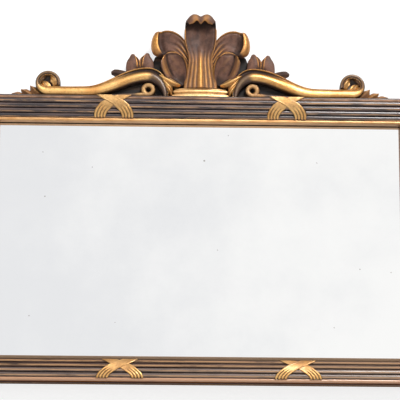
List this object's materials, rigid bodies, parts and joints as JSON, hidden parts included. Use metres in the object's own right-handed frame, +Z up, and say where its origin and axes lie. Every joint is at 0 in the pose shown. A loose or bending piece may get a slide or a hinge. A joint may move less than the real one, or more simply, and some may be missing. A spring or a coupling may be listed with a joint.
{
  "type": "overmantel mirror",
  "caption": "Wide wall mirror in a reeded, ribbon-tied moulding frame with a gilt slip and a carved leaf-and-scroll crest, hung from rings on its back.",
  "frame": {"origin": "middle of the frame's lower edge, on the plane of its back, which is the wall", "axes": "+X to the viewer's right along the rails, +Y into the wall, +Z up; the mirror faces -Y"},
  "size_m": [1.2246, 0.0723, 1.0191],
  "materials": {
    "ebonised_wood": "ebonised wood, polished, with wear along the crests of the reeds",
    "gilt_wood": "water-gilt wood over a warm ground, burnished and a little worn",
    "parcel_gilt_wood": "carved wood, brown ground with gilt edges and veins",
    "plain_wood": "unfinished pine, darkened with age",
    "mirror_plate": "silvered plate, clear with light foxing",
    "steel": "dull slotted steel screws",
    "brass": "dull brass with tarnish"
  },
  "bodies": {
    "frame": {"top_rail": "ebonised_wood", "bottom_rail": "ebonised_wood", "left_stile": "ebonised_wood", "right_stile": "ebonised_wood", "slip_top": "gilt_wood", "slip_bottom": "gilt_wood", "slip_left": "gilt_wood", "slip_right": "gilt_wood", "corner_tongues": "plain_wood", "mirror_plate": "mirror_plate", "glass_blocks": "plain_wood", "back_board_1": "plain_wood", "back_board_2": "plain_wood", "back_board_3": "plain_wood", "back_board_4": "plain_wood", "back_board_screws": "steel", "ribbon_tie_top_left": "gilt_wood", "ribbon_tie_top_right": "gilt_wood", "ribbon_tie_bottom_left": "gilt_wood", "ribbon_tie_bottom_right": "gilt_wood", "ribbon_tie_left_stile": "gilt_wood", "ribbon_tie_right_stile": "gilt_wood", "crest_board": "ebonised_wood", "crest_batten_left": "plain_wood", "crest_batten_right": "plain_wood", "batten_screws": "steel", "crest_plinth": "gilt_wood", "plume": "parcel_gilt_wood", "upper_leaf_left": "parcel_gilt_wood", "upper_leaf_right": "parcel_gilt_wood", "lower_leaf_left": "parcel_gilt_wood", "lower_leaf_right": "parcel_gilt_wood", "ear_leaf_left": "parcel_gilt_wood", "ear_leaf_right": "parcel_gilt_wood", "rear_leaf_left": "parcel_gilt_wood", "rear_leaf_right": "parcel_gilt_wood", "large_scroll_left": "gilt_wood", "large_scroll_right": "gilt_wood", "small_scroll_left": "gilt_wood", "small_scroll_right": "gilt_wood", "acanthus_left": "gilt_wood", "acanthus_right": "gilt_wood", "end_leaf_left": "parcel_gilt_wood", "end_leaf_right": "parcel_gilt_wood", "hanger_plate_left": "brass", "hanger_plate_right": "brass", "hanger_screws": "brass"},
    "left_ring": {"hanger_ring_left": "brass"},
    "right_ring": {"hanger_ring_right": "brass"}
  },
  "joints": [
    {"name": "left_ring_swing", "type": "hinge", "parent": "frame", "child": "left_ring", "pos_m": [-0.5944, 0.00348, 0.55462], "axis": [1, 0, 0], "range_deg": [0, 180]},
    {"name": "right_ring_swing", "type": "hinge", "parent": "frame", "child": "right_ring", "pos_m": [0.5944, 0.00348, 0.55462], "axis": [1, 0, 0], "range_deg": [0, 180]}
  ]
}
